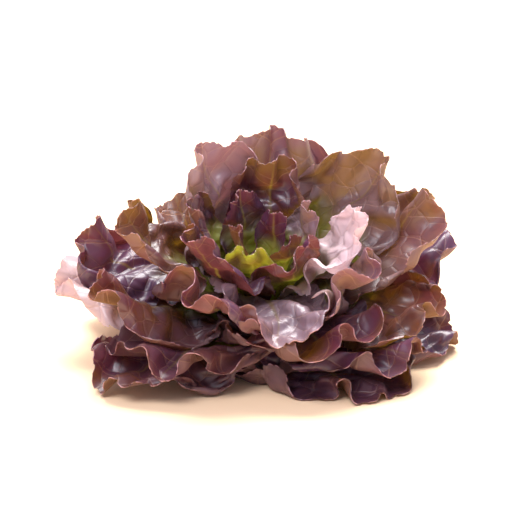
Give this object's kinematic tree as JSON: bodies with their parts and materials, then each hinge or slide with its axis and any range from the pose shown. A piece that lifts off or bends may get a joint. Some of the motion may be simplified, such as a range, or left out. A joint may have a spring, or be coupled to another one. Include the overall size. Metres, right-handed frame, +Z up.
{
  "type": "cut head of red leaf lettuce",
  "caption": "Loose rosette head of ruffled red-purple leaf lettuce that stands on its trimmed stump, with a yellow-green heart leaning forwards.",
  "frame": {"origin": "centre of the flat cut face under the stump, which is the surface that the head stands on", "axes": "+Z up from the cut face; the heart leans towards -Y, which is the head's open front; +X to the right as seen from the front"},
  "size_m": [0.271, 0.2667, 0.1556],
  "materials": {
    "heart_leaf": "satin",
    "inner_leaf": "satin",
    "middle_leaf": "satin",
    "outer_leaf": "satin",
    "stump": "matte"
  },
  "bodies": {
    "root": {"stump": "stump", "heart_leaf_1": "heart_leaf", "heart_leaf_2": "heart_leaf", "heart_leaf_3": "heart_leaf", "heart_leaf_4": "heart_leaf", "heart_leaf_5": "heart_leaf", "heart_leaf_6": "heart_leaf", "heart_leaf_7": "heart_leaf", "heart_leaf_8": "heart_leaf", "inner_leaf_1": "inner_leaf", "inner_leaf_2": "inner_leaf", "inner_leaf_3": "inner_leaf", "inner_leaf_4": "inner_leaf", "inner_leaf_5": "inner_leaf", "inner_leaf_6": "inner_leaf", "inner_leaf_7": "inner_leaf", "inner_leaf_8": "inner_leaf", "middle_leaf_1": "middle_leaf", "middle_leaf_2": "middle_leaf", "middle_leaf_3": "middle_leaf", "middle_leaf_4": "middle_leaf", "middle_leaf_5": "middle_leaf", "middle_leaf_6": "middle_leaf", "middle_leaf_7": "middle_leaf", "middle_leaf_8": "middle_leaf", "middle_leaf_9": "middle_leaf", "outer_leaf_1": "outer_leaf", "outer_leaf_2": "outer_leaf", "outer_leaf_3": "outer_leaf", "outer_leaf_4": "outer_leaf", "outer_leaf_5": "outer_leaf", "outer_leaf_6": "outer_leaf", "outer_leaf_7": "outer_leaf", "outer_leaf_8": "outer_leaf", "outer_leaf_9": "outer_leaf"}
  },
  "joints": []
}
